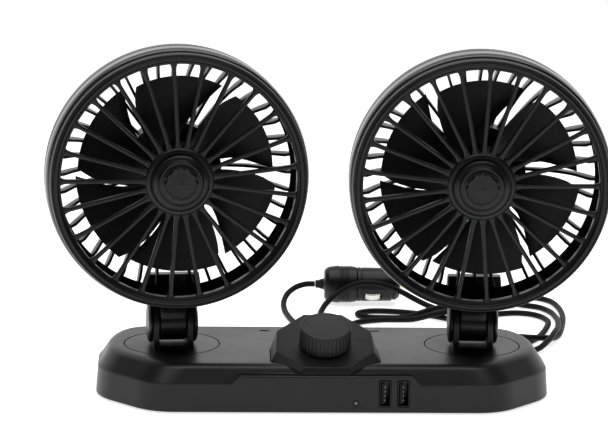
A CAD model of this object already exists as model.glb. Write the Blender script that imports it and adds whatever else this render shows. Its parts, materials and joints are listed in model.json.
"""Looks of the dual-head dashboard fan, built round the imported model.

Lengths are in millimetres up to Shape.object, which turns them into metres. Each fan head has
its own frame: origin on the fan axis level with the tilt axis, x right, y up, z out of the front.
"""

import json
import math

import bmesh
import bpy
from mathutils import Matrix, Vector


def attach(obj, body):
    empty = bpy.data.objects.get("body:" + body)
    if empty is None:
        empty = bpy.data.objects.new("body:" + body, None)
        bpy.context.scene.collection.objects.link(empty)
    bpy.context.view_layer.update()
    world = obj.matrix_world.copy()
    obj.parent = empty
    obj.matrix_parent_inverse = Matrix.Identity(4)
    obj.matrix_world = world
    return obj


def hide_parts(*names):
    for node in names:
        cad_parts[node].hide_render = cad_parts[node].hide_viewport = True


MM = 0.001
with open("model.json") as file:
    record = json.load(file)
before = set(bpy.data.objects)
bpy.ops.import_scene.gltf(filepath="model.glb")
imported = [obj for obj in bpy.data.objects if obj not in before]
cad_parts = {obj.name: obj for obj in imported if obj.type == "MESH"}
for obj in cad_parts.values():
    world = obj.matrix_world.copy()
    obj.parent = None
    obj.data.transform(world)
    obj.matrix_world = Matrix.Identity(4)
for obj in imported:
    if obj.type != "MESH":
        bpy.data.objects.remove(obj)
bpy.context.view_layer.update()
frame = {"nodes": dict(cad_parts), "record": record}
JOINTS = {joint["name"]: joint for joint in frame["record"]["behaviour"]["joints"]}
SIDES = ("left", "right")

# ---------------------------------------------------------------- camera

IMAGE_WIDTH = 608.0
FOCAL = 2588.7
CAMERA_DISTANCE = 1345.0
CAMERA_TURN = math.radians(-2.7)
CAMERA_RISE = math.radians(11.61)
CAMERA_ROLL = math.radians(0.96)
CAMERA_TARGET = Vector((-10.6, 5.0, 88.9))


def add_camera():
    data = bpy.data.cameras.new("camera")
    data.sensor_width = 36.0
    data.lens = FOCAL * data.sensor_width / IMAGE_WIDTH
    data.clip_start, data.clip_end = 0.05, 50.0
    flat = math.cos(CAMERA_RISE)
    back = Vector((math.sin(CAMERA_TURN) * flat, -math.cos(CAMERA_TURN) * flat, math.sin(CAMERA_RISE)))
    right = (-back).cross(Vector((0, 0, 1))).normalized()
    up = right.cross(-back)
    across = math.cos(CAMERA_ROLL) * right + math.sin(CAMERA_ROLL) * up
    above = math.cos(CAMERA_ROLL) * up - math.sin(CAMERA_ROLL) * right
    camera = bpy.data.objects.new("camera", data)
    turn = Matrix((across, above, back)).transposed().to_4x4()
    camera.matrix_world = Matrix.Translation((CAMERA_TARGET + CAMERA_DISTANCE * back) * MM) @ turn
    bpy.context.scene.collection.objects.link(camera)
    bpy.context.scene.camera = camera


# ---------------------------------------------------------------- materials

BLOTCH_SCALE = 28.0
GRAIN_DEPTH = 0.00006
FLOOR_GLOW = 0.70
# finish: slot, material, colour, lighter colour, roughness range, grain scale, bump, specular, metallic
FINISHES = {
    "cover": ("black_plastic", "satin_cover", (0.0040, 0.0040, 0.0044), (0.0056, 0.0056, 0.0060),
              (0.34, 0.42), 1900.0, 0.35, 0.40),
    "shell": ("black_plastic", "satin_shell", (0.0036, 0.0036, 0.0040), (0.0052, 0.0052, 0.0056),
              (0.30, 0.40), 2100.0, 0.30, 0.30),
    "knob": ("black_plastic", "matt_knob", (0.016, 0.016, 0.017), (0.020, 0.020, 0.021),
             (0.48, 0.58), 2300.0, 0.40, 0.36),
    "pod": ("black_plastic", "matt_pod", (0.0080, 0.0080, 0.0085), (0.0110, 0.0110, 0.0115),
            (0.44, 0.54), 2100.0, 0.40, 0.26),
    "dark": ("dark_plastic", "dark_moulding", (0.0045, 0.0045, 0.0050), (0.0065, 0.0065, 0.0070),
             (0.42, 0.54), 1700.0, 0.25, 0.22),
    "mark": ("black_plastic", "pod_mark", (0.012, 0.012, 0.013), (0.015, 0.015, 0.016),
             (0.30, 0.36), 1500.0, 0.10, 0.35),
    "rubber": ("rubber", "soft_rubber", (0.012, 0.012, 0.012), (0.016, 0.016, 0.016),
               (0.66, 0.80), 1500.0, 0.45, 0.30),
    "cord": ("rubber", "pvc_sheath", (0.0025, 0.0025, 0.0028), (0.0040, 0.0040, 0.0044),
             (0.50, 0.60), 1200.0, 0.12, 0.14),
    "drum": ("black_plastic", "gloss_drum", (0.0085, 0.0085, 0.0090), (0.0115, 0.0115, 0.0120),
             (0.22, 0.28), 2100.0, 0.15, 0.80),
    "shield": ("steel", "dark_nickel", (0.050, 0.050, 0.052), (0.075, 0.075, 0.078),
               (0.30, 0.42), 1400.0, 0.10, 0.5, 1.0),
    "steel": ("steel", "plated_steel", (0.62, 0.61, 0.59), (0.70, 0.69, 0.67),
              (0.20, 0.34), 1400.0, 0.10, 0.5, 1.0),
    "contact": ("steel", "nickel_contact", (0.80, 0.78, 0.72), (0.88, 0.86, 0.80),
                (0.30, 0.42), 1200.0, 0.12, 0.5, 1.0),
    "gold": ("brass", "dull_contact", (0.30, 0.27, 0.22), (0.38, 0.35, 0.29),
             (0.30, 0.42), 1500.0, 0.08, 0.5, 1.0),
    "brass": ("brass", "washed_brass", (0.66, 0.57, 0.38), (0.74, 0.66, 0.48),
              (0.22, 0.34), 1300.0, 0.10, 0.5, 1.0),
    "board": ("board_green", "circuit_board", (0.015, 0.11, 0.05), (0.02, 0.15, 0.07),
              (0.35, 0.50), 700.0, 0.30),
    "lens": ("light_lens", "lens", (0.62, 0.64, 0.66), (0.74, 0.76, 0.78), (0.10, 0.18), 900.0, 0.05),
}

def new_material(name):
    made = bpy.data.materials.new(name)
    made.use_nodes = True
    return made, made.node_tree.nodes, made.node_tree.links


def noise(nodes, links, place, scale, detail=3.0, roughness=0.55):
    node = nodes.new("ShaderNodeTexNoise")
    node.inputs["Scale"].default_value = scale
    node.inputs["Detail"].default_value = detail
    node.inputs["Roughness"].default_value = roughness
    links.new(place.outputs["Object"], node.inputs["Vector"])
    return node


def spread(nodes, links, source, low, high, start=0.3, end=0.7):
    node = nodes.new("ShaderNodeMapRange")
    node.inputs["From Min"].default_value = start
    node.inputs["From Max"].default_value = end
    node.inputs["To Min"].default_value = low
    node.inputs["To Max"].default_value = high
    links.new(source, node.inputs["Value"])
    return node


def moulded(name, colour, lighter, gloss, grain, depth, specular=0.5, metallic=0.0):
    """A moulded or plated finish: fine grain, soft blotches of colour, and uneven gloss."""
    made, nodes, links = new_material(name)
    shader = nodes["Principled BSDF"]
    shader.inputs["Metallic"].default_value = metallic
    shader.inputs["Specular IOR Level"].default_value = specular
    place = nodes.new("ShaderNodeTexCoord")
    cloudy = noise(nodes, links, place, BLOTCH_SCALE, 4.0)
    fine = noise(nodes, links, place, grain, 2.0, 0.6)
    tone = nodes.new("ShaderNodeMix")
    tone.data_type = "RGBA"
    tone.inputs["A"].default_value = (*colour, 1.0)
    tone.inputs["B"].default_value = (*lighter, 1.0)
    links.new(cloudy.outputs["Fac"], tone.inputs["Factor"])
    links.new(tone.outputs["Result"], shader.inputs["Base Color"])
    uneven = spread(nodes, links, cloudy.outputs["Fac"], gloss[0], gloss[1])
    links.new(uneven.outputs["Result"], shader.inputs["Roughness"])
    bump = nodes.new("ShaderNodeBump")
    bump.inputs["Strength"].default_value = depth
    bump.inputs["Distance"].default_value = GRAIN_DEPTH
    links.new(fine.outputs["Fac"], bump.inputs["Height"])
    links.new(bump.outputs["Normal"], shader.inputs["Normal"])
    return made


def floor_material():
    made, nodes, links = new_material("studio_floor")
    shader = nodes["Principled BSDF"]
    shader.inputs["Roughness"].default_value = 0.9
    shader.inputs["Specular IOR Level"].default_value = 0.1
    shader.inputs["Emission Color"].default_value = (1.0, 1.0, 1.0, 1.0)
    shader.inputs["Emission Strength"].default_value = FLOOR_GLOW
    place = nodes.new("ShaderNodeTexCoord")
    cloudy = noise(nodes, links, place, 2.0)
    tone = nodes.new("ShaderNodeMix")
    tone.data_type = "RGBA"
    tone.inputs["A"].default_value = (0.90, 0.90, 0.90, 1.0)
    tone.inputs["B"].default_value = (0.93, 0.93, 0.93, 1.0)
    links.new(cloudy.outputs["Fac"], tone.inputs["Factor"])
    links.new(tone.outputs["Result"], shader.inputs["Base Color"])
    return made


MATERIALS = {finish: moulded(*settings) for finish, (_, *settings) in FINISHES.items()}
lens_shader = MATERIALS["lens"].node_tree.nodes["Principled BSDF"]
lens_shader.inputs["Transmission Weight"].default_value = 0.25
lens_shader.inputs["IOR"].default_value = 1.49


# ---------------------------------------------------------------- shapes

def bake(obj):
    """Replaces the object's mesh with what its modifiers make of it."""
    bpy.context.view_layer.update()
    graph = bpy.context.evaluated_depsgraph_get()
    made = bpy.data.meshes.new_from_object(obj.evaluated_get(graph))
    obj.modifiers.clear()
    obj.data = made
    return obj


def eased(points, closed=True, segments=4):
    """The outline with each corner (a, b, reach) replaced by a short curve that starts reach away."""
    made, count = [], len(points)
    for i, point in enumerate(points):
        here, reach = Vector(point[:2]), (point[2] if len(point) > 2 else 0.0)
        if not reach or (not closed and i in (0, count - 1)):
            made.append(tuple(here))
            continue
        before = Vector(points[i - 1][:2]) - here
        after = Vector(points[(i + 1) % count][:2]) - here
        reach = min(reach, before.length * 0.48, after.length * 0.48)
        start, end = here + before.normalized() * reach, here + after.normalized() * reach
        for k in range(segments + 1):
            t = k / segments
            made.append(tuple(start * (1 - t) ** 2 + here * 2 * t * (1 - t) + end * t**2))
    return made


def rectangle(left, right, low, high, corner, segments=4):
    corners = [(left, low, corner), (right, low, corner), (right, high, corner), (left, high, corner)]
    return eased(corners, segments=segments)


class Shape:
    """A mesh in the making: vertices in millimetres in some frame, and faces."""

    def __init__(self):
        self.bm = bmesh.new()

    def loops(self, rows, wrap=False, caps=True):
        """Faces between successive closed loops of points. A loop of one point is a tip."""
        made = [[self.bm.verts.new(p) for p in row] for row in rows]
        pairs = list(zip(made, made[1:])) + ([(made[-1], made[0])] if wrap else [])
        for low, high in pairs:
            count = max(len(low), len(high))
            for i in range(count):
                after = i + 1
                corners = [
                    low[i % len(low)], low[after % len(low)],
                    high[after % len(high)], high[i % len(high)],
                ]
                self.bm.faces.new(list(dict.fromkeys(corners)))
        if caps and not wrap:
            for row in (made[0], made[-1]):
                if len(row) > 2:
                    self.bm.faces.new(row)
        return self

    def lathe(self, profile, steps=144, segments=4, wave=None):
        """A profile of (radius, height, corner) turned about Z, on the axis at both ends or closed."""
        closed = profile[0][0] > 0
        rows = []
        for r, z in eased(profile, closed, segments):
            if r < 1e-6:
                rows.append([(0, 0, z)])
                continue
            row = []
            for i in range(steps):
                angle = 2 * math.pi * i / steps
                reach = r + (wave(angle, z, r) if wave else 0.0)
                row.append((reach * math.cos(angle), reach * math.sin(angle), z))
            rows.append(row)
        return self.loops(rows, wrap=closed, caps=False)

    def prism(self, outline, low, high):
        return self.loops([[(x, y, z) for x, y in outline] for z in (low, high)])

    def box(self, low, high):
        outline = [(low[0], low[1]), (high[0], low[1]), (high[0], high[1]), (low[0], high[1])]
        return self.prism(outline, low[2], high[2])

    def tidy(self):
        bmesh.ops.recalc_face_normals(self.bm, faces=self.bm.faces)
        return self

    def bevel(self, width, segments=3, angle=30.0):
        """Rounds the edges sharper than the angle."""
        self.tidy()
        limit = math.radians(angle)
        edges = [e for e in self.bm.edges if len(e.link_faces) == 2 and e.calc_face_angle(0.0) > limit]
        bmesh.ops.bevel(
            self.bm, geom=edges, offset=width, segments=segments, profile=0.5, affect="EDGES",
            clamp_overlap=True,
        )
        return self

    def turn(self, matrix):
        self.bm.transform(matrix)
        return self

    def add(self, other, *turns):
        """Takes in the other shape, once for each turn."""
        mesh = bpy.data.meshes.new("copy")
        other.tidy().bm.to_mesh(mesh)
        for turn in turns or [Matrix.Identity(4)]:
            copy = mesh.copy()
            copy.transform(turn)
            self.bm.from_mesh(copy)
            bpy.data.meshes.remove(copy)
        bpy.data.meshes.remove(mesh)
        return self

    def object(self, name, matrix=None):
        """The shape as an object in metres, with its place in its vertices."""
        self.tidy()
        self.bm.transform(Matrix.Scale(MM, 4) @ (matrix or Matrix.Identity(4)))
        mesh = bpy.data.meshes.new(name)
        self.bm.to_mesh(mesh)
        self.bm.free()
        obj = bpy.data.objects.new(name, mesh)
        bpy.context.scene.collection.objects.link(obj)
        return obj


def smooth(obj, angle=34.0, weighted=True):
    obj.data.polygons.foreach_set("use_smooth", [True] * len(obj.data.polygons))
    obj.data.set_sharp_from_angle(angle=math.radians(angle))
    if weighted:
        step = obj.modifiers.new("even_shading", "WEIGHTED_NORMAL")
        step.keep_sharp = True
        step.weight = 80
        bake(obj)
    return obj


def piece(obj, body, finish, *nodes, angle=34.0, weighted=True):
    """Dresses a piece, and ties it to its body and to the CAD nodes it stands for."""
    smooth(obj, angle, weighted)
    obj.data.materials.clear()
    obj.data.materials.append(MATERIALS[finish])
    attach(obj, body)
    if nodes:
        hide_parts(*nodes)
    return obj


def cut(target, *cutters, solver="EXACT"):
    for cutter in cutters:
        step = target.modifiers.new("cut", "BOOLEAN")
        step.operation, step.solver, step.object = "DIFFERENCE", solver, cutter
        bake(target)
        bpy.data.objects.remove(cutter, do_unlink=True)
    return target


def unite(target, *others):
    for other in others:
        step = target.modifiers.new("join", "BOOLEAN")
        step.operation, step.object = "UNION", other
        bake(target)
        bpy.data.objects.remove(other, do_unlink=True)
    return target


def edge_round(obj, width, segments=2, angle=35.0):
    step = obj.modifiers.new("edges", "BEVEL")
    step.width, step.segments = width * MM, segments
    step.limit_method, step.angle_limit = "ANGLE", math.radians(angle)
    step.use_clamp_overlap = False
    return bake(obj)


def axes(origin, x, z):
    """The frame at origin whose x and z run along these, with the lengths in millimetres."""
    x, z = Vector(x).normalized(), Vector(z).normalized()
    turn = Matrix((x, z.cross(x), z)).transposed().to_4x4()
    return Matrix.Translation(Vector(origin)) @ turn


def along_x(place=(0, 0, 0)):
    """Turns a shape's Z axis onto +X."""
    return Matrix.Translation(Vector(place)) @ Matrix.Rotation(math.radians(90), 4, "Y")


def along_front(place=(0, 0, 0)):
    """Turns a shape's Z axis onto -Y."""
    return Matrix.Translation(Vector(place)) @ Matrix.Rotation(math.radians(90), 4, "X")


def outward(sign, distance):
    """Turns a shape's Z axis onto +X or -X, and moves it out by distance."""
    return along_x() @ Matrix.Scale(sign, 4, (0, 0, 1)) @ Matrix.Translation((0, 0, distance))


def turned(name, profile, turn, steps=96, segments=4, wave=None):
    return Shape().lathe(profile, steps, segments, wave).object(name, turn)


def turns_about_z(count, first=0.0):
    return [Matrix.Rotation(first + 2 * math.pi * i / count, 4, "Z") for i in range(count)]


def curve_through(points, per_span):
    """Points of a smooth curve through the given points."""
    knots = [Vector(p) for p in points]
    knots = [2 * knots[0] - knots[1], *knots, 2 * knots[-1] - knots[-2]]
    made = []
    for a, b, c, d in zip(knots, knots[1:], knots[2:], knots[3:]):
        for k in range(per_span):
            t = k / per_span
            square, cube = 2 * a - 5 * b + 4 * c - d, 3 * b - a - 3 * c + d
            made.append(0.5 * (2 * b + (c - a) * t + square * t**2 + cube * t**3))
    return [*made, knots[-2]]


# ---------------------------------------------------------------- cord and plug

CORD_DIAMETER = 3.4
CORD_EXIT = (0.0, 56.3, 8.0)
CORD_ROUTE = [
    (0, 56.3, 8), (0, 63, 7.7), (0.3, 71, 6.3), (1, 80, 4.2), (2, 90, 2.5), (3.4, 102, 1.9),
    (5, 130, 1.9), (6.2, 150, 1.9), (7.5, 164, 2.2), (10.5, 175, 4), (14.5, 181, 6.8), (20, 184.2, 10.2),
    (26, 185, 13.4), (33, 184.8, 15.4), (42, 184.8, 15.2), (50, 185.4, 12.9), (57.5, 185.5, 9.6),
    (65, 183, 6), (73, 177.5, 3.2), (82, 170, 1.9), (96, 161, 1.9), (111, 164.5, 1.9), (123, 167.5, 1.9),
    (133, 163.5, 1.9), (138.5, 153, 1.9), (138, 138, 1.9), (126, 104, 1.9), (106, 86, 1.9),
    (78, 84, 1.9), (46, 92, 1.9), (26, 108, 1.9), (20, 126, 1.9), (27, 141, 1.9), (42, 149, 1.9),
    (60, 150.5, 1.9), (71, 151.5, 4.2), (80, 154, 5.5), (88, 158, 5.6), (94.5, 163.5, 5.2),
    (101, 173, 2.8), (107, 183, 1.9), (116, 198, 1.9), (128, 207.5, 1.9), (141, 206, 1.9),
    (149, 193, 1.9), (150, 162, 1.9), (143.5, 124, 1.9), (138, 108, 2.2), (130.5, 97.5, 4.5),
    (120.5, 93.8, 5.7), (111, 99.5, 5), (105, 111, 2.6), (100, 126, 1.9), (91, 142, 1.9),
    (82, 151.5, 1.9), (72, 160, 1.9), (62, 165.5, 1.9), (52, 169, 1.9), (42, 170.4, 1.9),
    (34.6, 169, 1.9), (29.8, 164.8, 1.9), (29.8, 159.2, 1.9), (34.6, 155, 1.9), (42, 153.7, 1.9),
    (56, 154.7, 1.9),
    (65.5, 157.5, 3.9), (73, 161, 5.6), (83, 166.5, 5.7), (95, 173.5, 5.7), (108, 181.5, 5.4),
    (119, 186.5, 3.4), (130, 187.5, 1.9), (139, 181.5, 1.9), (144, 170, 1.9), (145, 155, 2.4),
    (143.8, 138, 4.6), (141, 118, 5.8), (137, 103, 6.4), (131, 90, 4.2), (121, 78, 1.9),
    (98, 70, 1.9), (66, 68, 1.9), (38, 73, 1.9), (21, 84, 2.6), (11, 95, 5), (3, 107, 5.7),
    (-3, 120, 3.2), (-8, 138, 1.9), (-11.5, 155, 1.9), (-13.5, 170, 2.6), (-13.5, 181, 4.6),
    (-11, 190, 7.4), (-6, 196.8, 9.8), (0, 199.8, 11.1), (5.7, 200, 11.3),
]
PLUG_PLACE = (0.0, 200.0, 11.3)
CONTACT_ANGLES = {"front": 215.0, "rear": 35.0}
CONTACT_CURVE = [
    (35.0, 8.6), (35.6, 9.9), (37.0, 10.9), (39.0, 11.25), (41.0, 11.25), (43.0, 10.9), (44.4, 9.9),
    (45.0, 8.6),
]


def build_cord():
    line = [p * MM for p in curve_through(CORD_ROUTE, 6)]
    curve = bpy.data.curves.new("power_cord_sheath", "CURVE")
    curve.dimensions = "3D"
    curve.bevel_depth = CORD_DIAMETER / 2 * MM
    curve.bevel_resolution = 5
    curve.use_fill_caps = True
    spline = curve.splines.new("POLY")
    spline.points.add(len(line) - 1)
    for point, place in zip(spline.points, line):
        point.co = (*place, 1.0)
    spline.use_smooth = True
    curve.materials.append(MATERIALS["cord"])
    cord = bpy.data.objects.new("power_cord_sheath", curve)
    bpy.context.scene.collection.objects.link(cord)
    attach(cord, "base")
    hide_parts("power_cord")


def build_plug():
    turn = along_x(PLUG_PLACE)
    boot = [(0, 6.0), (2.25, 6.0, 0.2)]
    for i in range(4):
        z = 6.9 + i * 0.9
        r = 2.5 + i * 0.28
        boot += [(r, z), (r, z + 0.45), (r - 0.3, z + 0.5), (r - 0.3, z + 0.85)]
    boot += [(3.6, 10.8, 0.2), (3.6, 11.0), (0, 11.0)]
    made = [piece(turned("plug_boot_ribbed", boot, turn, 48), "base", "rubber", "plug_boot")]
    handle = [(0, 11.3), (8.4, 11.3, 0.8), (10.3, 13.4, 1.2), (11.15, 18.6, 2.0)]
    for i in range(4):
        z = 20.2 + i * 1.5
        handle += [(11.12, z), (10.7, z + 0.3, 0.1), (10.7, z + 0.7, 0.1), (11.05, z + 1.0)]
    handle += [(10.85, 27.4, 1.0), (10.4, 30.4, 0.4), (10.0, 30.5), (0, 30.5)]
    made.append(piece(turned("plug_grip", handle, turn), "base", "shell", "plug_handle"))

    barrel = [
        (0, 30.8), (10.0, 30.8, 0.3), (10.2, 31.6, 0.2), (10.2, 33.0), (9.95, 33.2), (9.95, 33.7),
        (10.18, 33.9), (9.92, 51.2, 0.4), (9.3, 52.0, 0.3), (2.9, 52.0, 0.2), (2.9, 43.0), (0, 43.0),
    ]
    body = turned("plug_barrel_shell", barrel, turn)
    for angle in CONTACT_ANGLES.values():
        slot = Shape().box((34.65, -2.55, 5.2), (45.35, 2.55, 20)).bevel(0.4, 3)
        cut(body, slot.object("slot", contact_turn(angle)))
    edge_round(body, 0.15, 2, 50)
    made.append(piece(body, "base", "shell", "plug_barrel"))
    nose = [(3.3, 52.3, 0.2), (9.3, 52.3, 0.3), (9.3, 54.1, 0.5), (7.6, 56.3, 0.6), (3.3, 56.4, 0.3)]
    made.append(piece(turned("plug_nose", nose, turn, 72), "base", "shell", "plug_nose_ring"))
    pin = [(0, 47.0), (2.55, 47.0, 0.1), (2.55, 57.4, 0.4), (1.8, 59.1, 0.6), (0, 59.55)]
    made.append(piece(turned("plug_pin_tip", pin, turn, 48), "plug_pin", "brass", "plug_centre_pin"))
    for name, angle in CONTACT_ANGLES.items():
        rows = []
        for x, top in CONTACT_CURVE:
            outline = eased([(-2.2, 7.3), (2.2, 7.3), (2.2, top, 0.5), (-2.2, top, 0.5)], segments=3)
            rows.append([(x, y, z) for y, z in outline])
        spring = Shape().loops(rows).object(f"plug_contact_spring_{name}", contact_turn(angle))
        made.append(piece(spring, f"plug_contact_{name}", "contact", f"plug_contact_{name}", angle=45))
    return made


def contact_turn(angle):
    return Matrix.Translation(Vector(PLUG_PLACE)) @ Matrix.Rotation(math.radians(angle - 90), 4, "X")


# ---------------------------------------------------------------- base

HALF_X, HALF_Y = 118.0, 45.0
FRONT_CHAMFER, REAR_CHAMFER = (29.0, 30.0), (9.0, 20.0)
PLATEAU_Z, LIP_Z = 24.0, 20.3
LIP_HALF_X, LIP_END = 43.5, 5.3
WALL, WALL_DRAFT = 2.2, 0.9 / 13.8
POD_FRONT = (-41.0, 23.3)
POD_SLOPE = math.radians(19.0)
POD_FACE = [(11.4, 0.0), (25.0, 14.0), (24.3, 34.3), (10.0, 50.0)]
POD_FOOT = [(12.3, -42.0), (28.0, -32.5), (27.6, -6.0), (12.0, 12.5)]
MARK_ALONG = 24.5
PORTS = {"left": 29.8, "right": 39.2}
PORT_Z = 10.5
LIGHT = (15.0, 5.6)
SLOT_PLACE = (29.5, 33.0)
DISC_RADIUS = 24.7
KNOB_FLUTES = 36
KNOB = [
    (3.4, 0.8), (12.9, 0.8, 0.2), (13.3, 1.3), (13.28, 3.5), (13.25, 6.5), (13.2, 9.5), (13.15, 10.5),
    (13.12, 11.0), (13.05, 11.4, 0.3), (12.5, 11.8, 0.25), (11.9, 11.75, 0.2), (11.5, 11.5, 0.3),
    (0.6, 11.4), (0.6, 9.5), (3.4, 9.4),
]


def base_outline(inset=0.0, rear=None, corner=12.0, segments=12):
    """The base's octagon, drawn in by inset all round, or by rear at the rear."""
    x, front = HALF_X - inset, HALF_Y - inset
    y = HALF_Y - (inset if rear is None else rear)
    side = [
        (x - FRONT_CHAMFER[0], -front, corner), (x, -front + FRONT_CHAMFER[1], corner),
        (x, y - REAR_CHAMFER[1], corner), (x - REAR_CHAMFER[0], y, corner),
    ]
    return eased(side + [(-a, b, c) for a, b, c in reversed(side)], segments=segments)


def base_levels(levels):
    """A solid from rows of (height, inset, inset at the rear), where the last may be left out."""
    return Shape().loops([[(x, y, z) for x, y in base_outline(*insets)] for z, *insets in levels])


def lip_form(margin, bottom, steps):
    """The raised middle of the front wall, its top given as (distance from the front, height)."""
    rows = []
    for y, top in steps:
        half, end = LIP_HALF_X - margin, LIP_END
        slope = end / (LIP_Z - 14.0)
        edge = half + (LIP_Z - margin - top) * slope
        right = [(edge, top, 0.5), (half + end, 14.0), (half + end, bottom)]
        outline = eased([(-x, *z) for x, *z in reversed(right)] + right, segments=3)
        rows.append([(x, -HALF_Y + margin + y + WALL_DRAFT * (z - 1.0), z) for x, z in outline])
    return Shape().loops(rows)


def build_cover():
    outer = [
        (0.6, 0.35, 0.35), (1.0, 0.0, 0.0), (14.75, 0.9, 0.9), (15.0, 1.0, 0.94),
        (15.12, 1.5, 0.97), (21.6, 5.75, 1.6), (22.5, 6.45, 1.75),
        (23.2, 7.3, 2.0), (23.7, 8.4, 2.5), (23.93, 9.6, 3.1), (24.0, 11.2, 3.9),
    ]
    cover = base_levels(outer).object("base_shell")
    lip = lip_form(0.0, 1.2, [
        (0.02, 18.9), (0.12, 19.2), (0.4, 19.45), (1.3, 19.5), (1.35, 18.9), (1.75, 18.9), (1.8, 19.8),
        (1.95, 20.1), (2.3, 20.3), (10.5, 20.3),
    ])
    unite(cover, lip.object("lip"))
    cut(cover, base_levels([(-0.4, 2.2, 2.2), (12.8, 3.1, 3.1), (21.8, 9.6, 4.6)]).object("room"))
    cut(cover, lip_form(2.2, -0.4, [(0.0, 18.1), (8.3, 18.1)]).object("lip_room"))
    holes = [Shape().prism(pod_outline(0.3), 10, 34).object("pod_hole")]
    for x in PORTS.values():
        outline = rectangle(x - 3.15, x + 3.15, PORT_Z - 6.85, PORT_Z + 6.85, 0.7)
        rows = [[(a, y, b) for a, b in outline] for y in (-60.0, -35.0)]
        holes.append(Shape().loops(rows).object("port"))
    light_hole = [(0, 30), (1.6, 30), (1.6, 60), (0, 60)]
    gland_hole = [(0, -60), (3.3, -60), (3.3, -30), (0, -30)]
    holes.append(turned("light", light_hole, along_front((LIGHT[0], 0, LIGHT[1])), 32))
    holes.append(turned("gland", gland_hole, along_front((0, 0, CORD_EXIT[2])), 32))
    for sign, side in ((-1, "left"), (1, "right")):
        x, y = [v / MM for v in JOINTS[f"{side}_tilt"]["pos_m"][:2]]
        reach = DISC_RADIUS + 0.45
        disc_hole = [(0, 10), (reach, 10), (reach, 30), (0, 30)]
        holes.append(turned("disc_hole", disc_hole, Matrix.Translation((x, y, 0)), 120))
        x, y = sign * SLOT_PLACE[0], SLOT_PLACE[1]
        outline = rectangle(x - 2.5, x + 2.5, y - 1, y + 1, 0.9)
        holes.append(Shape().prism(outline, 15, 30).object("slot"))
    cut(cover, *holes)
    edge_round(cover, 0.22, 2, 50)
    piece(cover, "base", "cover", "base_cover", angle=28)


def pod_outline(margin=0.0):
    right = [(x + margin, y + (margin if y > 0 else -margin)) for x, y in POD_FOOT]
    return right + [(-x, y) for x, y in reversed(right)]


def pod_form(margin, drop, bottom):
    """The pod's outer form, or the room inside it when margin and drop are above zero."""
    foot, face = pod_outline(-margin), []
    share = 1 - margin / 25
    for x, along in POD_FACE:
        pulled = 25 + (along - 25) * share
        y = POD_FRONT[0] + pulled * math.cos(POD_SLOPE) + drop * math.sin(POD_SLOPE)
        z = POD_FRONT[1] + pulled * math.sin(POD_SLOPE) - drop * math.cos(POD_SLOPE)
        face.append((x * share, y, z))
    face += [(-x, y, z) for x, y, z in reversed(face)]
    shoulder = [(x, y, (LIP_Z if y < -35 else PLATEAU_Z) + 0.4 - drop) for x, y in foot]
    return Shape().loops([[(x, y, bottom) for x, y in foot], shoulder, face])


def build_pod():
    pod = pod_form(0.0, 0.0, 17.0).bevel(0.55, 3, 8).object("control_pod_shell")
    cut(pod, pod_form(WALL, WALL, 16.0).object("pod_room"), solver="MANIFOLD")
    joint = JOINTS["speed_knob_turn"]
    turn = axes(Vector(joint["pos_m"]) / MM, (1, 0, 0), joint["axis"])
    cut(pod, turned("shaft_hole", [(0, -10), (3.6, -10), (3.6, 10), (0, 10)], turn, 48))
    piece(pod, "base", "pod", "control_pod", angle=14)

    def fluted(angle, z, r):
        if r < 12.6 or z > 11.0:
            return 0.0
        fade = min(1.0, (11.0 - z) / 0.5)
        return -0.42 * fade * abs(math.sin(KNOB_FLUTES / 2 * angle)) ** 2.2

    knob = turned("speed_knob_cap", KNOB, turn, 12 * KNOB_FLUTES, 3, fluted)
    piece(knob, "knob", "knob", "speed_knob", angle=50, weighted=False)
    inlay = Shape().lathe([(0, 11.0), (0.9, 11.0), (0.9, 11.42, 0.1), (0, 11.46)], 32)
    bar = rectangle(-0.45, 0.45, 6.6, 10.8, 0.4)
    inlay.add(Shape().prism(bar, 11.0, 11.62).bevel(0.12, 2, 60))
    piece(inlay.object("speed_knob_pointer", turn), "knob", "knob")

    piece(pod_marks(), "base", "mark")


def pod_marks():
    """A small fan of arcs each side of the knob: two for slow at the left, four for fast."""
    marks = Shape()
    for x, count in ((-18.6, 2), (18.6, 4)):
        for k in range(count):
            radius = 1.0 + k * 0.75
            rows = []
            for i in range(13):
                angle = math.radians(25 + i * 130 / 12)
                c, s = math.cos(angle), math.sin(angle)
                near, far = radius - 0.16, radius + 0.16
                section = [(near, -0.1), (far, -0.1), (far, 0.09), (near, 0.09)]
                rows.append([(x + r * c, MARK_ALONG + r * s, z) for r, z in section])
            marks.add(Shape().loops(rows))
        dot = Shape().lathe([(0, -0.1), (0.45, -0.1), (0.45, 0.09), (0, 0.1)], 20)
        marks.add(dot.turn(Matrix.Translation((x, MARK_ALONG, 0))))
    up = (0, -math.sin(POD_SLOPE), math.cos(POD_SLOPE))
    return marks.object("pod_marks", axes((0.0, *POD_FRONT), (1, 0, 0), up))


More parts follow.
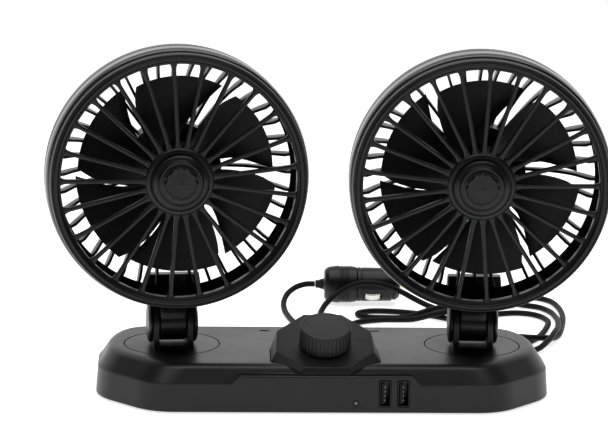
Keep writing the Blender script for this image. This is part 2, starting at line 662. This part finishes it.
def build_ports():
    front, deep = -HALF_Y + 0.1, 13.0
    for side, x in PORTS.items():
        def ring(half_x, half_z, y, corner):
            outline = rectangle(x - half_x, x + half_x, PORT_Z - half_z, PORT_Z + half_z, corner, 5)
            return [(a, y, b) for a, b in outline]
        back = front + deep
        rows = [
            ring(2.85, 6.55, back, 0.6), ring(2.85, 6.55, front + 0.15, 0.6),
            ring(2.78, 6.48, front, 0.55), ring(2.6, 6.3, front, 0.5),
            ring(2.5, 6.2, front + 0.2, 0.45), ring(2.5, 6.2, back - 0.5, 0.45),
        ]
        shell = Shape().loops(rows).object(f"usb_socket_{side}")
        piece(shell, "base", "shield", f"usb_shell_{side}", angle=40)
        left = x - 2.85 + 0.9
        low, high = (left, front + 0.8, PORT_Z - 5.5), (left + 1.8, back - 0.8, PORT_Z + 5.5)
        tongue = Shape().box(low, high).bevel(0.35, 3)
        piece(tongue.object(f"usb_tongue_core_{side}"), "base", "dark", f"usb_tongue_{side}")
        pads = Shape()
        for z in (-3.5, -1.1, 1.1, 3.5):
            low = (left + 1.7, front + 0.75, PORT_Z + z - 0.55)
            pads.add(Shape().box(low, (left + 2.05, back - 3, PORT_Z + z + 0.55)).bevel(0.12, 2))
        piece(pads.object(f"usb_contacts_{side}"), "base", "gold")


def build_small_base():
    turn = along_front((LIGHT[0], 0, LIGHT[1]))
    bezel = [(0.5, 41), (1.55, 41), (1.55, 44.7, 0.1), (0.5, 44.72, 0.05)]
    piece(turned("status_bezel", bezel, turn, 40), "base", "cover")
    dome = [(0, 41), (0.45, 41), (0.45, 44.7, 0.1), (0.3, 44.95, 0.1), (0, 45.05)]
    piece(turned("status_lens", dome, turn, 32), "base", "lens", "status_led")
    gland = [
        (0, -41.0), (3.0, -41.0), (3.0, -45.2), (4.3, -45.2, 0.3), (4.4, -46.6, 0.4), (3.2, -47.0, 0.2),
    ]
    for i in range(4):
        z, r = -47.6 - i * 1.9, 3.05 - i * 0.17
        gland += [(r, z), (r, z - 0.9, 0.1), (r - 0.45, z - 1.05, 0.1), (r - 0.5, z - 1.75)]
    gland += [(2.2, -55.3, 0.2), (2.0, -56.0), (0, -56.0)]
    gland = turned("cord_gland", gland, along_front((0, 0, CORD_EXIT[2])), 48)
    piece(gland, "base", "rubber", "cable_gland")
    pad = base_levels([
        (1.5, 5.0), (0.4, 5.0), (0.3, 5.6), (0.0, 6.2), (0.0, 8.0), (0.35, 8.3), (0.35, 9.0), (0.0, 9.3),
        (0.0, 14.0),
    ])
    piece(pad.object("anti_slip_mat"), "base", "rubber", "anti_slip_pad")
    plate = base_levels([(1.8, 3.3), (1.95, 2.75), (3.2, 2.7), (3.4, 3.0)])
    piece(plate.object("bottom_plate"), "base", "pod", "base_plate")


# ---------------------------------------------------------------- swivel

PIVOT_Z = 35.5
EAR = (7.3, 10.45)


def build_swivel(side):
    joint = JOINTS[f"{side}_tilt"]
    turn = axes(Vector(joint["pos_m"]) / MM, joint["axis"], (0, 0, 1))
    body = f"{side}_swivel"
    top = PLATEAU_Z - PIVOT_Z
    spigot, stem, disc = [z - PIVOT_Z for z in (14.5, 18.4, 21.5)]
    yoke = Shape().lathe([
        (0, spigot), (12.0, spigot, 0.3), (12.0, stem), (18.0, stem, 0.3), (18.0, disc),
        (DISC_RADIUS, disc), (DISC_RADIUS, top, 0.5), (20.5, top + 0.02, 0.3), (0, top + 0.02),
    ], 160)
    for sign in (-1, 1):
        angles = [math.pi * i / 32 for i in range(33)]
        outline = [(9.95 * math.cos(angle), 9.95 * math.sin(angle)) for angle in angles]
        foot = [(-9.95, -6.0), (-10.3, -9.2), (-11.6, top + 0.6), (-12.6, top - 0.3)]
        outline += foot + [(-a, b) for a, b in reversed(foot)]
        ear = Shape().loops([[(sign * x, y, z) for y, z in outline] for x in EAR])
        yoke.add(ear.bevel(0.45, 3, 40))
        boss = [(0, 0), (8.6, 0), (8.6, 0.25, 0.1), (0, 0.3)]
        yoke.add(Shape().lathe(boss, 64).turn(outward(sign, 10.4)))
    bridge = rectangle(-9.6, 9.6, -11.4, 11.4, 1.2)
    yoke.add(Shape().prism(bridge, top - 0.4, -10.1).bevel(0.25, 2, 50))
    piece(yoke.object(f"{side}_yoke", turn), body, "shell", f"{side}_swivel_yoke")
    dome = [
        (0, 0), (9.9, 0, 0.2), (10.45, 0.45, 0.3), (10.4, 1.0, 0.5), (9.3, 1.95, 1.4), (6.2, 2.45, 1.6),
        (0, 2.5),
    ]
    for place, sign in (("outer", 1), ("inner", -1)):
        cap = Shape().lathe(dome, 96).turn(outward(sign, 10.8))
        piece(cap.object(f"{side}_cap_{place}", turn), body, "shell", f"{side}_pivot_cap_{place}")


# ---------------------------------------------------------------- fan head

FOOT = -81.0
SPOKES, RIBS, BLADES = 25, 40, 6
CLOCK = {"left": (11.25, 62.0), "right": (2.75, 60.0)}
RING = [
    (59.8, 31.0, 0.3), (59.8, 35.4, 0.5), (60.35, 36.2, 0.3), (60.9, 36.35, 0.25), (61.25, 37.3, 0.4),
    (61.9, 37.95, 0.4), (63.1, 38.0, 0.3), (63.55, 37.35, 0.25), (63.85, 37.3, 0.2), (64.15, 37.65, 0.25),
    (64.8, 37.45, 0.4), (65.2, 36.2, 0.5), (65.2, 31.0, 0.2),
]
DRUM = [
    (65.0, 19.3, 0.2), (66.8, 19.3, 0.3), (67.0, 19.9, 0.3), (67.0, 27.6, 0.9), (66.2, 30.2, 0.8),
    (65.3, 30.7, 0.2), (64.9, 30.7, 0.1),
]
REAR_RING = [
    (65.0, 19.0, 0.2), (66.8, 19.0, 0.3), (67.0, 18.4, 0.3), (67.0, 12.0, 1.0), (65.4, 10.1, 1.0),
    (61.2, 7.7, 0.6), (59.7, 9.3, 0.5), (65.0, 13.2, 0.6),
]
CUP = [
    (23.0, -15.0, 0.2), (24.2, -15.0, 0.5), (25.0, -13.9, 0.6), (25.0, -6.0), (24.75, -5.7),
    (24.75, -5.0), (25.0, -4.7), (25.0, 1.9, 0.5), (8.0, 2.0, 0.2), (8.0, 0.0), (23.0, 0.0),
]
RIB_CURVE = [(63.5, 12.5), (61.5, 9.0), (52.5, -3.0), (41.0, -10.8), (24.0, -14.5)]
RIB_INSIDE = [(24.0, -10.0), (38.5, -6.4), (48.8, 0.7), (57.0, 12.5)]


def spoke_turn(clockwise):
    return math.radians(90.0 - clockwise)


def head_frame(side):
    spin = JOINTS[f"{side}_fan_spin"]
    return axes(Vector(spin["pos_m"]) / MM, JOINTS[f"{side}_tilt"]["axis"], spin["axis"])


def spoke_shape():
    """One spoke along +X: a slim bar that flares into the hub and into the ring."""
    rows = []
    stations = [
        (14.5, 2.1), (17.2, 2.1), (18.0, 1.75), (19.0, 1.38), (20.5, 1.16), (23.0, 1.1), (52.0, 1.1),
        (56.6, 1.12), (58.0, 1.3), (59.2, 1.75), (60.4, 2.5), (61.6, 2.6),
    ]
    for r, half in stations:
        crown = 35.3 - 0.25 * abs(r - 38) / 24
        top = half * 0.94
        corners = [(-half, 32.3, 0.35), (half, 32.3, 0.35), (top, crown, 0.75), (-top, crown, 0.75)]
        section = eased(corners)
        rows.append([(r, y, z) for y, z in section])
    return Shape().loops(rows)


def build_front(side, turn, body):
    spokes_first = spoke_turn(CLOCK[side][0])
    grille = Shape().lathe(RING, 180)
    grille.add(spoke_shape(), *turns_about_z(SPOKES, spokes_first))
    hub = [
        (0, 31.8), (16.6, 31.8, 0.4), (17.5, 32.6, 0.4), (17.5, 35.2, 0.6), (16.4, 36.3, 0.6),
        (15.0, 36.6, 0.2), (14.7, 36.2, 0.1), (0, 36.2),
    ]
    grille.add(Shape().lathe(hub, 120))
    piece(grille.object(f"{side}_grille", turn), body, "shell", f"{side}_front_grille", weighted=False)

    def scalloped(angle, z, r):
        return 0.28 * math.cos(12 * angle) if 6.6 < r < 9.2 and z > 42.0 else 0.0

    cap = [
        (0, 37.7), (13.9, 37.7, 0.2), (14.2, 38.2, 0.3), (14.1, 38.9, 0.5), (13.2, 39.6, 0.7),
        (11.5, 40.5, 0.4), (11.1, 41.5, 0.25), (10.7, 41.8, 0.2), (10.2, 41.6, 0.2), (9.0, 42.0, 0.2),
        (8.2, 42.2, 0.3), (7.9, 43.1, 0.2), (7.5, 43.45, 0.3), (6.9, 43.3, 0.2), (1.2, 43.5),
        (0.9, 43.8, 0.1), (0, 43.9),
    ]
    hub_dome = turned(f"{side}_hub_dome", cap, turn, 192, 4, scalloped)
    piece(hub_dome, body, "shell", f"{side}_hub_cap", weighted=False)
    piece(turned(f"{side}_drum_band", DRUM, turn, 180), body, "drum", f"{side}_drum")


def neck_shape():
    """The arm from the tilt knuckle up into the drum, as rounded sections that flare and lean."""
    stations = [
        (-81.0, 6.95, -8.4, 8.4), (-75.0, 6.95, -8.4, 8.8), (-72.0, 6.95, -8.4, 9.3),
        (-70.8, 7.05, -8.3, 10.4), (-69.9, 7.7, -8.2, 12.0), (-69.0, 9.0, -8.1, 13.8),
        (-68.1, 10.9, -8.0, 15.8), (-67.3, 12.7, -7.9, 17.4), (-66.7, 13.8, -7.8, 18.4),
        (-65.6, 14.0, -7.5, 18.5), (-64.2, 14.0, -7.2, 15.8), (-61.0, 14.0, -6.5, 10.4),
        (-57.5, 14.0, -4.0, 7.0), (-54.6, 13.8, -1.5, 4.0),
    ]
    rows = []
    for y, half, back, front in stations:
        corner = min(1.6, (front - back) * 0.3)
        rows.append([(x, y, z) for x, z in rectangle(-half, half, back, front, corner, 5)])
    return Shape().loops(rows)


def rib_shape():
    """One curved rib of the rear cage, in the plane of X and Z."""
    outer = [tuple(p[:2]) for p in curve_through([(*p, 0) for p in RIB_CURVE], 5)]
    inner = [tuple(p[:2]) for p in curve_through([(*p, 0) for p in RIB_INSIDE], 5)]
    faces = [[(r, y, z) for r, z in outer + inner] for y in (-0.75, 0.75)]
    return Shape().loops(faces).bevel(0.3, 2, 60)


def build_rear(side, turn, body):
    housing = Shape().lathe(REAR_RING, 180)
    housing.add(rib_shape(), *turns_about_z(RIBS))
    housing.add(Shape().lathe(CUP, 120))
    housing.add(neck_shape())
    knuckle = [
        (2.9, -7.0, 0.2), (8.9, -7.0, 0.4), (9.4, -6.4, 0.3), (9.4, 6.4, 0.3), (8.9, 7.0, 0.4),
        (2.9, 7.0, 0.2),
    ]
    housing.add(Shape().lathe(knuckle, 96).turn(along_x((0, FOOT, 0))))
    cage = housing.object(f"{side}_rear_cage", turn)
    piece(cage, body, "shell", f"{side}_rear_housing", weighted=False)
    lid = [
        (0, -13.0), (22.5, -13.0, 0.2), (22.6, -14.1, 0.3), (20.6, -14.7, 0.4), (19.4, -15.0, 0.2),
        (19.0, -14.6, 0.2), (18.2, -14.6, 0.2), (17.8, -15.1, 0.2), (9.5, -15.2, 0.2),
        (9.2, -14.8, 0.2), (8.6, -14.8, 0.2), (8.2, -15.25, 0.2), (0, -15.4),
    ]
    piece(turned(f"{side}_motor_lid", lid, turn, 120), body, "shell", f"{side}_motor_cover")


BLADE_ROWS, BLADE_COLUMNS = 12, 22
BLADE_CHORD, BLADE_SWEEP = math.radians(56.0), math.radians(21.0)
BLADE_TIP, HUB_RADIUS = 50.8, 16.0


def blade_shape():
    """One twisted blade with a rounded edge, thinner towards the tip."""
    faces = {1: [], -1: []}
    root = HUB_RADIUS - 1.2
    for i in range(BLADE_ROWS):
        t = i / (BLADE_ROWS - 1)
        radius = root + (BLADE_TIP - root) * t
        rise = 8.5 - 2.0 * t
        for face in (1, -1):
            row = []
            for k in range(BLADE_COLUMNS):
                s = 2 * k / (BLADE_COLUMNS - 1) - 1
                corner = 1 - 0.055 * max(0.0, t - 0.8) / 0.2 * abs(s) ** 6
                angle = -BLADE_SWEEP * (t - 1) - s * BLADE_CHORD / 2 * (0.9 + 0.1 * t) * corner
                edge = math.sqrt(max(0.0, 1 - abs(s) ** 8)) * math.sqrt(1 - t**24)
                height = 15.0 - rise * s - 1.5 * (1 - s * s) + face * (0.12 + (0.62 - 0.14 * t) * edge)
                row.append((radius * math.cos(angle), radius * math.sin(angle), height))
            faces[face].append(row)
    return Shape().loops([top + bottom[::-1] for top, bottom in zip(faces[1], faces[-1])])


def build_impeller(side, turn):
    hub = [
        (1.9, 6.0), (4.0, 6.0), (4.0, 22.0), (14.2, 22.0, 0.3), (14.2, 4.5, 0.2), (15.8, 4.5, 0.3),
        (16.0, 5.2, 0.2), (16.0, 21.6, 1.2), (13.4, 24.2, 1.2), (6.0, 24.9, 0.5), (1.9, 25.1, 0.1),
    ]
    shape = Shape().lathe(hub, 96)
    shape.add(blade_shape(), *turns_about_z(BLADES, spoke_turn(CLOCK[side][1])))
    wheel = shape.object(f"{side}_fan_wheel", turn)
    piece(wheel, f"{side}_fan", "dark", f"{side}_impeller", angle=50, weighted=False)


# ---------------------------------------------------------------- what stays from the CAD

def dress_cad_nodes():
    finishes = {"circuit_board": "board", "speed_pot": "steel", "pot_shaft": "steel"}
    for number in range(1, 5):
        finishes[f"base_screw_{number}"] = "steel"
    for side in SIDES:
        for name in ("motor", "motor_shaft", "tilt_pin"):
            finishes[f"{side}_{name}"] = "steel"
        finishes[f"{side}_swivel_retainer"] = "dark"
    for name, finish in finishes.items():
        node = frame["nodes"][name]
        node.data.materials.clear()
        node.data.materials.append(MATERIALS[finish])


# ---------------------------------------------------------------- studio

WORLD_FRONT, WORLD_BACK, WORLD_TOP = 0.06, 1.18, 0.38


def add_light(name, place, target, size, power):
    data = bpy.data.lights.new(name, "AREA")
    data.shape, data.size, data.size_y, data.energy = "RECTANGLE", size[0], size[1], power
    light = bpy.data.objects.new(name, data)
    light.location = place
    light.rotation_euler = (Vector(target) - Vector(place)).to_track_quat("-Z", "Y").to_euler()
    bpy.context.scene.collection.objects.link(light)


def build_studio():
    floor = Shape().box((-4000, -4000, -12), (4000, 4000, -0.15)).object("studio_floor")
    floor.data.materials.append(floor_material())
    world = bpy.data.worlds.new("studio")
    bpy.context.scene.world = world
    world.use_nodes = True
    nodes, links = world.node_tree.nodes, world.node_tree.links
    place = nodes.new("ShaderNodeTexCoord")
    split = nodes.new("ShaderNodeSeparateXYZ")
    links.new(place.outputs["Generated"], split.inputs["Vector"])
    back = spread(nodes, links, split.outputs["Y"], WORLD_FRONT, WORLD_BACK, 0.05, 0.75)
    height = spread(nodes, links, split.outputs["Z"], 1.0, WORLD_TOP, 0.3, 0.7)
    both = nodes.new("ShaderNodeMath")
    both.operation = "MULTIPLY"
    links.new(back.outputs["Result"], both.inputs[0])
    links.new(height.outputs["Result"], both.inputs[1])
    sky = nodes["Background"]
    sky.inputs["Color"].default_value = (1.0, 1.0, 1.0, 1.0)
    links.new(both.outputs["Value"], sky.inputs["Strength"])
    add_light("top_box", (0.0, 0.25, 1.3), (0.0, 0.0, 0.05), (1.6, 1.0), 12.0)
    add_light("front_strip", (0.0, -0.40, 1.2), (0.0, 0.0, 0.08), (1.4, 0.22), 4.2)
    add_light("front_left", (-0.9, -1.2, 0.9), (0.0, 0.0, 0.08), (0.7, 0.7), 0.3)


# ---------------------------------------------------------------- assembly

add_camera()
bpy.context.scene.view_settings.view_transform = "Standard"
plug_pieces = build_plug()
build_cord()
build_cover()
build_pod()
build_ports()
build_small_base()
for fan_side in SIDES:
    build_swivel(fan_side)
    head_turn = head_frame(fan_side)
    build_front(fan_side, head_turn, f"{fan_side}_head")
    build_rear(fan_side, head_turn, f"{fan_side}_head")
    build_impeller(fan_side, head_turn)
dress_cad_nodes()
build_studio()
